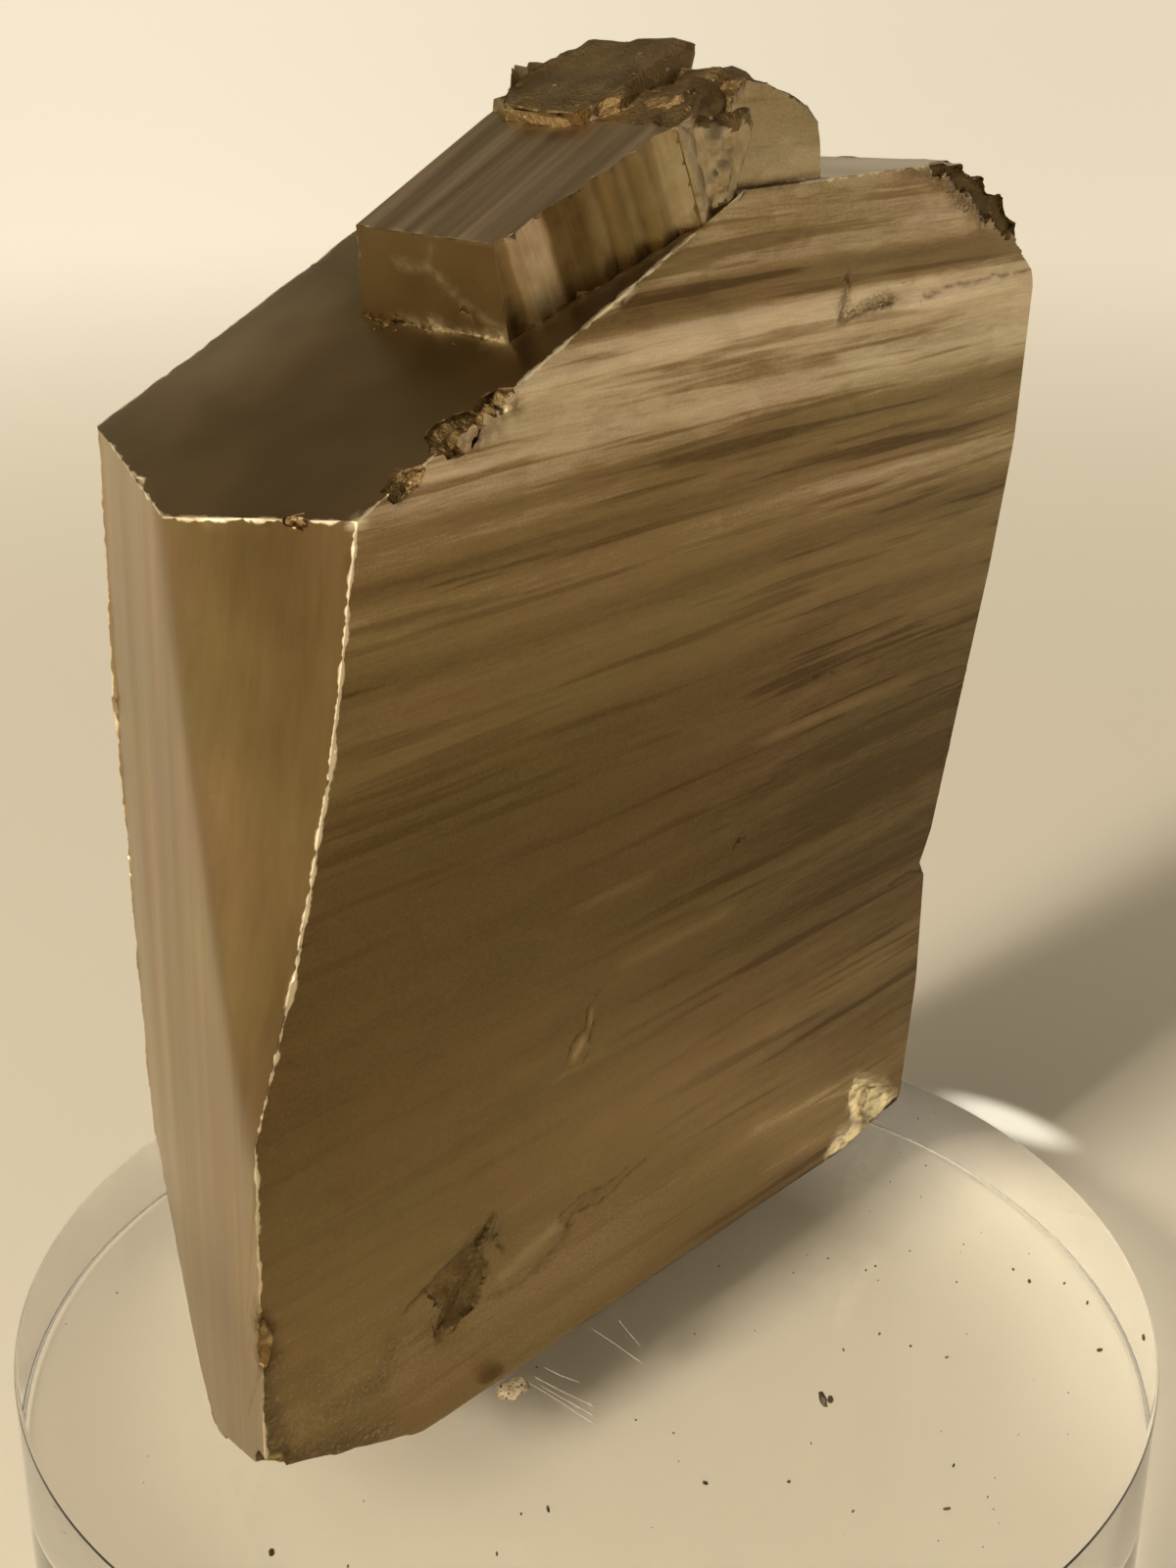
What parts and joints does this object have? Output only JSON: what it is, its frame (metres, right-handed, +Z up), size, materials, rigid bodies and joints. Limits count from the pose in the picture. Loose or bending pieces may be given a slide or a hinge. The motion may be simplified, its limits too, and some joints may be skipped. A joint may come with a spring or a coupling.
{
  "type": "pyrite specimen",
  "caption": "Tabular striated pyrite crystal with a slanted top and a smaller crystal grown on it, standing on a clear round acrylic display base.",
  "frame": {"origin": "centre of the acrylic base's underside, where the specimen rests", "axes": "+Z up out of the base; +X along the crystal's large front face towards its broken end; +Y from the front face back through the stone"},
  "size_m": [0.0814, 0.0762, 0.0929],
  "materials": {
    "pyrite": "dull brassy metallic, striated, brown tarnish with brighter chips",
    "acrylic": "clear polished acrylic",
    "tack": "dry cream-coloured mounting tack"
  },
  "bodies": {
    "root": {"pyrite_crystal": "pyrite", "acrylic_base": "acrylic", "mounting_tack": "tack"}
  },
  "joints": []
}
